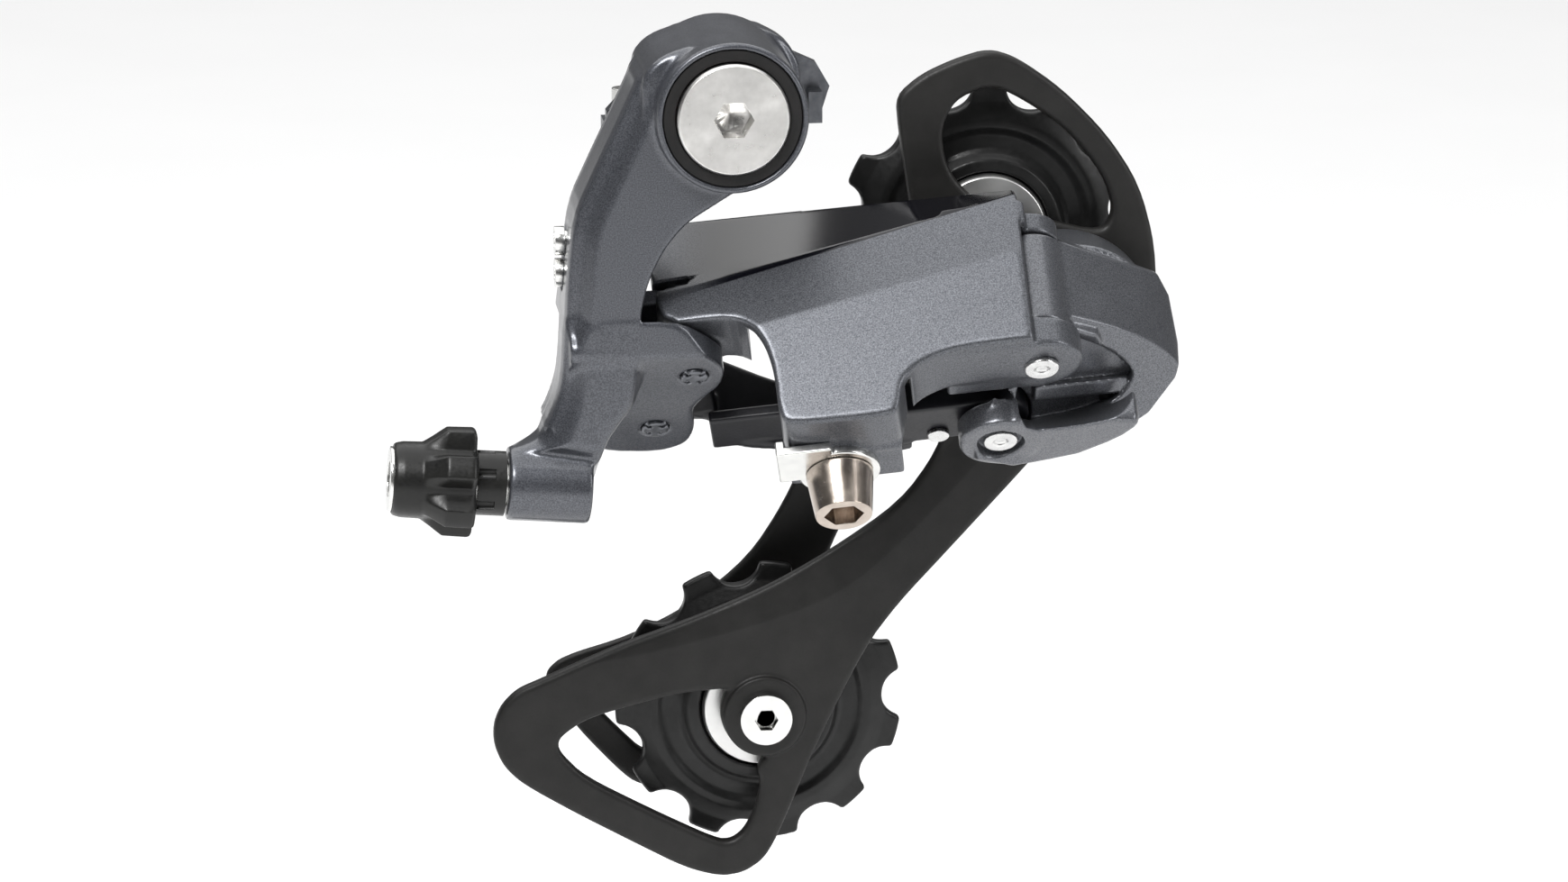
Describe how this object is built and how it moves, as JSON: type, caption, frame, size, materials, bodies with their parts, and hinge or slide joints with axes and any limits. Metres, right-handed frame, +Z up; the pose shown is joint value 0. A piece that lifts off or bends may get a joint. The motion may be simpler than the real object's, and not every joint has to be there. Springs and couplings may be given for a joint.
{
  "type": "rear derailleur",
  "caption": "Medium-cage rear derailleur: bolt-on bracket, slant parallelogram links, sprung pivot body, chain cage with toothed pulleys and a cable adjuster.",
  "frame": {"origin": "centre of the mounting bolt at the outer face of the hanger it screws into", "axes": "+X forward on the bicycle, +Y inboard along the mounting bolt, +Z up"},
  "size_m": [0.1167, 0.0572, 0.1336],
  "materials": {
    "machined_steel": "turned, bright nickel",
    "pin_steel": "bright rivet steel",
    "anchor_steel": "warm satin steel",
    "zinc_plate": "bright zinc plate",
    "black_steel": "black coated steel",
    "dark_plate": "dark grey plated steel",
    "spring_steel": "drawn spring steel",
    "grey_casting": "metallic dark grey satin paint with fine flake",
    "grey_link": "metallic grey paint with a gloss black top face",
    "black_link": "black satin paint",
    "bronze_bush": "plain bearing bronze",
    "seal_rubber": "black rubber",
    "knob_plastic": "black, slightly rubbery",
    "cage_black": "matte black",
    "pulley_resin": "moulded black resin, satin",
    "cap_silver": "pale silver pressed cap"
  },
  "bodies": {
    "hanger_side": {"b_bolt": "machined_steel", "stop_plate": "dark_plate", "b_retaining_ring": "spring_steel"},
    "b_screw": {"b_tension_screw": "zinc_plate"},
    "bracket": {"bracket_body": "grey_casting", "b_bush": "bronze_bush", "b_seal_ring": "seal_rubber", "b_spring": "spring_steel", "pins_a": "pin_steel", "link_spring": "spring_steel"},
    "high_screw": {"limit_screw_high": "zinc_plate"},
    "low_screw": {"limit_screw_low": "zinc_plate"},
    "adjuster_travel": {"adjuster_barrel": "zinc_plate"},
    "adjuster_turn": {"adjuster_collar": "knob_plastic", "adjuster_knob": "knob_plastic", "adjuster_spring": "spring_steel"},
    "outer": {"outer_link": "grey_link", "pin_b_outer": "pin_steel", "cable_clamp_plate": "zinc_plate"},
    "anchor": {"cable_anchor_bolt": "anchor_steel"},
    "inner": {"inner_link": "black_link", "inner_link_rivet": "pin_steel"},
    "p_knuckle": {"p_body": "grey_casting", "p_bush": "bronze_bush", "p_spring": "spring_steel", "p_retaining_screw": "black_steel", "pin_b_inner": "pin_steel", "p_seal_ring": "seal_rubber"},
    "cage": {"outer_cage_plate": "cage_black", "inner_cage_plate": "cage_black", "p_axle": "machined_steel", "cage_stop_pin": "pin_steel", "guide_bush": "bronze_bush", "guide_dust_caps": "cap_silver", "tension_bush": "bronze_bush", "tension_dust_caps": "cap_silver", "pulley_bolts": "machined_steel"},
    "guide": {"guide_pulley": "pulley_resin"},
    "tension": {"tension_pulley": "pulley_resin"}
  },
  "joints": [
    {"name": "b_pivot", "type": "hinge", "parent": "hanger_side", "child": "bracket", "pos_m": [0, -0.012, 0], "axis": [0, 1, 0], "range_deg": [0, 35], "stiffness_Nm_per_rad": 0.35, "springref_deg": -68.75},
    {"name": "b_screw_turn", "type": "hinge", "parent": "hanger_side", "child": "b_screw", "pos_m": [-0.0129, 0.0036, -0.01], "axis": [0, 0, 1], "range_deg": [-360, 360]},
    {"name": "high_limit_turn", "type": "hinge", "parent": "bracket", "child": "high_screw", "pos_m": [-0.0224, -0.012, -0.0202], "axis": [1, 0, 0], "range_deg": [-360, 360]},
    {"name": "low_limit_turn", "type": "hinge", "parent": "bracket", "child": "low_screw", "pos_m": [-0.0224, -0.012, -0.0249], "axis": [1, 0, 0], "range_deg": [-360, 360]},
    {"name": "adjuster_slide", "type": "slide", "parent": "bracket", "child": "adjuster_travel", "axis": [-0.9969, 0, 0.0785], "range_m": [0, 0.004]},
    {"name": "adjuster_knob_turn", "type": "hinge", "parent": "adjuster_travel", "child": "adjuster_turn", "pos_m": [-0.04018, -0.018, -0.05397], "axis": [-0.9969, 0, 0.0785], "range_deg": [0, 1800]},
    {"name": "link_swing", "type": "hinge", "parent": "bracket", "child": "outer", "pos_m": [-0.0049, -0.01435, -0.03514], "axis": [0, 0.7071, 0.7071], "range_deg": [0, 60], "stiffness_Nm_per_rad": 0.45, "springref_deg": -63.03},
    {"name": "inner_link_swing", "type": "hinge", "parent": "bracket", "child": "inner", "pos_m": [-0.0096, -0.00417, -0.04533], "axis": [0, 0.7071, 0.7071], "range_deg": [0, 60]},
    {"name": "anchor_bolt_turn", "type": "hinge", "parent": "outer", "child": "anchor", "pos_m": [0.01505, -0.03031, -0.05454], "axis": [0, -0.7071, -0.7071], "range_deg": [-360, 360]},
    {"name": "p_knuckle_swing", "type": "hinge", "parent": "outer", "child": "p_knuckle", "pos_m": [0.0443, -0.02213, -0.03161], "axis": [0, 0.7071, 0.7071], "range_deg": [-60, 0]},
    {"name": "cage_pivot", "type": "hinge", "parent": "p_knuckle", "child": "cage", "pos_m": [0.0515, -0.006, -0.0375], "axis": [0, 1, 0], "range_deg": [-100, 0], "stiffness_Nm_per_rad": 0.3, "springref_deg": 57.3},
    {"name": "guide_pulley_spin", "type": "hinge", "parent": "cage", "child": "guide", "pos_m": [0.0416, 0.00975, -0.0251], "axis": [0, 1, 0], "continuous": true},
    {"name": "tension_pulley_spin", "type": "hinge", "parent": "cage", "child": "tension", "pos_m": [0.0077, 0.00975, -0.0974], "axis": [0, 1, 0], "continuous": true}
  ],
  "couplings": [
    {"joint": "adjuster_knob_turn", "follows": "adjuster_slide", "rad_per_m": 7854},
    {"joint": "inner_link_swing", "follows": "link_swing", "ratio": 1},
    {"joint": "p_knuckle_swing", "follows": "link_swing", "ratio": -1}
  ]
}
